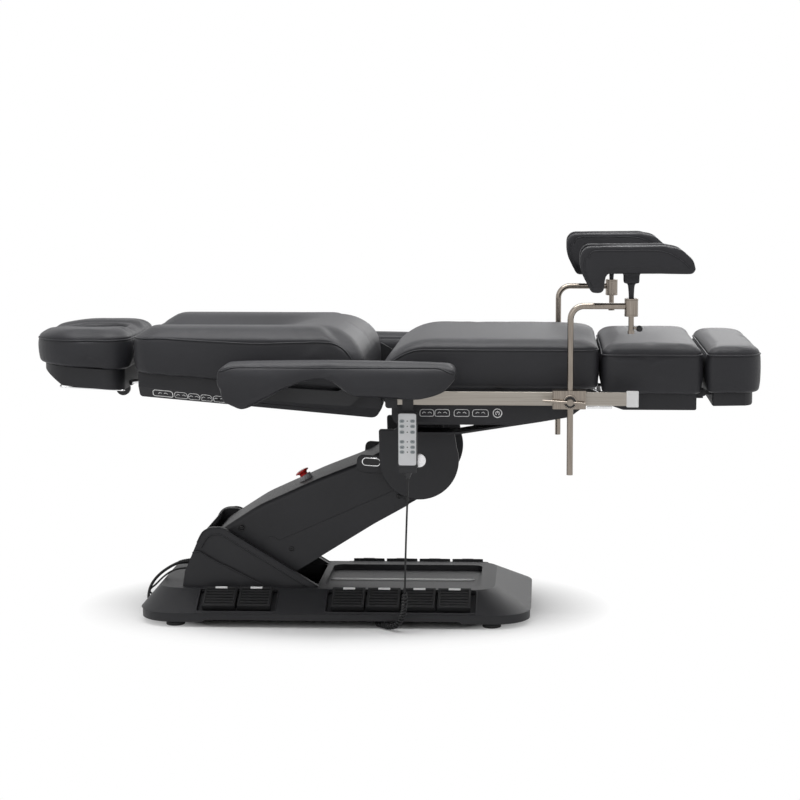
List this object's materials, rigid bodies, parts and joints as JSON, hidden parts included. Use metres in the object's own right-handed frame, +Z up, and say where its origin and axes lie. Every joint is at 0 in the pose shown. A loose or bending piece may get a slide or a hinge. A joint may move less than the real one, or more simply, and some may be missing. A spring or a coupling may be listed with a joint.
{
  "type": "electric examination table",
  "caption": "Padded electric examination table on a tilting lift arm, with sliding headrest, armrests, leg holders on side rails, foot pedals and a handset.",
  "frame": {"origin": "on the floor, under the middle of the table without its cords", "axes": "+X towards the foot end, +Y towards the far side, +Z up"},
  "size_m": [1.926, 0.896, 1.02],
  "materials": {
    "bright_steel": "brushed champagne steel",
    "cover": "fine textured black moulding",
    "frame_steel": "black powder coat",
    "handset_body": "dark moulding with a silver keypad",
    "lead_black": "black cable jacket",
    "pedal_rubber": "ribbed black rubber",
    "polished": "polished",
    "stop_red": "glossy red",
    "upholstery": "charcoal leather with fine grain",
    "white_cap": "white moulding"
  },
  "bodies": {
    "root": {"base_frame": "frame_steel", "base_cover": "cover", "hood": "cover", "levelling_feet": "pedal_rubber", "arm_bracket": "frame_steel", "mains_lead": "lead_black", "mains_coil": "lead_black", "mains_plug": "lead_black", "link_lead": "lead_black", "handset_lead": "lead_black", "handset_curl": "lead_black"},
    "lift_arm": {"arm_beam": "frame_steel", "arm_cover": "cover", "lift_motor": "frame_steel"},
    "lift_rod": {"lift_rod": "polished"},
    "tie_rod": {"tie_rod": "frame_steel"},
    "stop_button": {"stop_button": "stop_red"},
    "head": {"head_block": "frame_steel", "head_covers": "cover", "levelling_shaft": "polished"},
    "seat": {"seat_frame": "frame_steel", "seat_shell": "cover", "seat_cushion": "upholstery", "seat_motors": "frame_steel", "seat_side_plates": "frame_steel", "side_rails": "bright_steel", "rail_end_caps": "white_cap", "handset": "handset_body"},
    "back": {"back_shell": "cover", "back_brackets": "frame_steel", "back_cushion": "upholstery"},
    "armrest_near": {"armrest_near": "upholstery"},
    "armrest_far": {"armrest_far": "upholstery"},
    "headrest": {"headrest_cushion": "upholstery", "headrest_shell": "cover", "headrest_rods": "polished"},
    "headrest_knob": {"headrest_knob": "frame_steel"},
    "leg_carrier": {"leg_slides": "polished"},
    "leg": {"leg_shell": "cover", "leg_cushion": "upholstery"},
    "foot": {"foot_shell": "cover", "foot_cushion": "upholstery"},
    "holder_clamp_near": {"holder_clamp_near": "bright_steel"},
    "holder_screw_near": {"holder_screw_near": "bright_steel"},
    "holder_rod_near": {"holder_rod_near": "bright_steel"},
    "holder_pad_near": {"holder_pad_near": "upholstery"},
    "holder_clamp_far": {"holder_clamp_far": "bright_steel"},
    "holder_screw_far": {"holder_screw_far": "bright_steel"},
    "holder_rod_far": {"holder_rod_far": "bright_steel"},
    "holder_pad_far": {"holder_pad_far": "upholstery"},
    "pedal_near_1": {"pedal_near_1": "pedal_rubber"},
    "pedal_near_2": {"pedal_near_2": "pedal_rubber"},
    "pedal_near_3": {"pedal_near_3": "pedal_rubber"},
    "pedal_near_4": {"pedal_near_4": "pedal_rubber"},
    "pedal_near_5": {"pedal_near_5": "pedal_rubber"},
    "pedal_near_6": {"pedal_near_6": "pedal_rubber"},
    "pedal_far_1": {"pedal_far_1": "pedal_rubber"},
    "pedal_far_2": {"pedal_far_2": "pedal_rubber"},
    "pedal_far_3": {"pedal_far_3": "pedal_rubber"},
    "pedal_far_4": {"pedal_far_4": "pedal_rubber"}
  },
  "joints": [
    {"name": "lift", "type": "hinge", "parent": "root", "child": "lift_arm", "pos_m": [-0.415, 0, 0.14], "axis": [0, -1, 0], "range_deg": [-20, 32], "deforming": ["handset_lead", "handset_curl"]},
    {"name": "head_level", "type": "hinge", "parent": "lift_arm", "child": "head", "pos_m": [0.07, 0, 0.431], "axis": [0, -1, 0], "range_deg": [-32, 20]},
    {"name": "tie_swing", "type": "hinge", "parent": "root", "child": "tie_rod", "pos_m": [-0.385, 0, 0.1], "axis": [0, -1, 0], "range_deg": [-20, 32]},
    {"name": "lift_drive", "type": "slide", "parent": "lift_arm", "child": "lift_rod", "axis": [0.8575, 0, 0.5145], "range_m": [-0.033, 0.021]},
    {"name": "stop_press", "type": "slide", "parent": "lift_arm", "child": "stop_button", "axis": [0.5145, 0, -0.8575], "range_m": [0, 0.004], "stiffness_N_per_m": 800, "springref_m": -0.006},
    {"name": "seat_tilt", "type": "hinge", "parent": "head", "child": "seat", "pos_m": [0.096, 0, 0.615], "axis": [0, -1, 0], "range_deg": [0, 20]},
    {"name": "back_raise", "type": "hinge", "parent": "seat", "child": "back", "pos_m": [-0.088, 0, 0.68], "axis": [0, 1, 0], "range_deg": [0, 70]},
    {"name": "armrest_near_level", "type": "hinge", "parent": "back", "child": "armrest_near", "pos_m": [-0.385, -0.37, 0.634], "axis": [0, -1, 0], "range_deg": [0, 70]},
    {"name": "armrest_far_level", "type": "hinge", "parent": "back", "child": "armrest_far", "pos_m": [-0.385, 0.37, 0.634], "axis": [0, -1, 0], "range_deg": [0, 70]},
    {"name": "headrest_slide", "type": "slide", "parent": "back", "child": "headrest", "axis": [-1, 0, 0], "range_m": [0, 0.12]},
    {"name": "headrest_lock", "type": "hinge", "parent": "headrest", "child": "headrest_knob", "pos_m": [-0.735, -0.08, 0.614], "axis": [0, -1, 0], "range_deg": [0, 180]},
    {"name": "leg_lower", "type": "hinge", "parent": "seat", "child": "leg_carrier", "pos_m": [0.534, 0, 0.6], "axis": [0, 1, 0], "range_deg": [0, 80]},
    {"name": "leg_extend", "type": "slide", "parent": "leg_carrier", "child": "leg", "axis": [1, 0, 0], "range_m": [0, 0.08]},
    {"name": "foot_fold", "type": "hinge", "parent": "leg", "child": "foot", "pos_m": [0.817, 0, 0.626], "axis": [0, 1, 0], "range_deg": [0, 25]},
    {"name": "holder_near_along", "type": "slide", "parent": "seat", "child": "holder_clamp_near", "axis": [1, 0, 0], "range_m": [-0.1, 0.06]},
    {"name": "holder_near_screw", "type": "hinge", "parent": "holder_clamp_near", "child": "holder_screw_near", "pos_m": [0.469, -0.39, 0.62], "axis": [0, -1, 0], "range_deg": [0, 180]},
    {"name": "holder_near_height", "type": "slide", "parent": "holder_clamp_near", "child": "holder_rod_near", "axis": [0, 0, 1], "range_m": [-0.1, 0.1]},
    {"name": "holder_near_swivel", "type": "hinge", "parent": "holder_rod_near", "child": "holder_pad_near", "pos_m": [0.622, -0.366, 0.9], "axis": [0, 0, 1], "range_deg": [-45, 45]},
    {"name": "holder_far_along", "type": "slide", "parent": "seat", "child": "holder_clamp_far", "axis": [1, 0, 0], "range_m": [-0.1, 0.06]},
    {"name": "holder_far_screw", "type": "hinge", "parent": "holder_clamp_far", "child": "holder_screw_far", "pos_m": [0.443, 0.39, 0.62], "axis": [0, 1, 0], "range_deg": [0, 180]},
    {"name": "holder_far_height", "type": "slide", "parent": "holder_clamp_far", "child": "holder_rod_far", "axis": [0, 0, 1], "range_m": [-0.1, 0.1]},
    {"name": "holder_far_swivel", "type": "hinge", "parent": "holder_rod_far", "child": "holder_pad_far", "pos_m": [0.596, 0.366, 0.9], "axis": [0, 0, 1], "range_deg": [-45, 45]},
    {"name": "pedal_near_1_press", "type": "hinge", "parent": "root", "child": "pedal_near_1", "pos_m": [-0.458, -0.18739, 0.08063], "axis": [1, 0, 0], "range_deg": [0, 4], "stiffness_Nm_per_rad": 2, "springref_deg": -4.58},
    {"name": "pedal_near_2_press", "type": "hinge", "parent": "root", "child": "pedal_near_2", "pos_m": [-0.364, -0.18739, 0.08063], "axis": [1, 0, 0], "range_deg": [0, 4], "stiffness_Nm_per_rad": 2, "springref_deg": -4.58},
    {"name": "pedal_near_3_press", "type": "hinge", "parent": "root", "child": "pedal_near_3", "pos_m": [-0.115, -0.18739, 0.08063], "axis": [1, 0, 0], "range_deg": [0, 4], "stiffness_Nm_per_rad": 2, "springref_deg": -4.58},
    {"name": "pedal_near_4_press", "type": "hinge", "parent": "root", "child": "pedal_near_4", "pos_m": [-0.021, -0.18739, 0.08063], "axis": [1, 0, 0], "range_deg": [0, 4], "stiffness_Nm_per_rad": 2, "springref_deg": -4.58},
    {"name": "pedal_near_5_press", "type": "hinge", "parent": "root", "child": "pedal_near_5", "pos_m": [0.073, -0.18739, 0.08063], "axis": [1, 0, 0], "range_deg": [0, 4], "stiffness_Nm_per_rad": 2, "springref_deg": -4.58},
    {"name": "pedal_near_6_press", "type": "hinge", "parent": "root", "child": "pedal_near_6", "pos_m": [0.167, -0.18739, 0.08063], "axis": [1, 0, 0], "range_deg": [0, 4], "stiffness_Nm_per_rad": 2, "springref_deg": -4.58},
    {"name": "pedal_far_1_press", "type": "hinge", "parent": "root", "child": "pedal_far_1", "pos_m": [-0.095, 0.18739, 0.08063], "axis": [-1, 0, 0], "range_deg": [0, 4], "stiffness_Nm_per_rad": 2, "springref_deg": -4.58},
    {"name": "pedal_far_2_press", "type": "hinge", "parent": "root", "child": "pedal_far_2", "pos_m": [-0.001, 0.18739, 0.08063], "axis": [-1, 0, 0], "range_deg": [0, 4], "stiffness_Nm_per_rad": 2, "springref_deg": -4.58},
    {"name": "pedal_far_3_press", "type": "hinge", "parent": "root", "child": "pedal_far_3", "pos_m": [0.093, 0.18739, 0.08063], "axis": [-1, 0, 0], "range_deg": [0, 4], "stiffness_Nm_per_rad": 2, "springref_deg": -4.58},
    {"name": "pedal_far_4_press", "type": "hinge", "parent": "root", "child": "pedal_far_4", "pos_m": [0.187, 0.18739, 0.08063], "axis": [-1, 0, 0], "range_deg": [0, 4], "stiffness_Nm_per_rad": 2, "springref_deg": -4.58}
  ],
  "couplings": [
    {"joint": "head_level", "follows": "lift", "ratio": -1},
    {"joint": "tie_swing", "follows": "lift", "ratio": 1},
    {"joint": "lift_drive", "follows": "lift", "m_per_rad": -0.058},
    {"joint": "armrest_near_level", "follows": "back_raise", "ratio": 1},
    {"joint": "armrest_far_level", "follows": "back_raise", "ratio": 1}
  ]
}
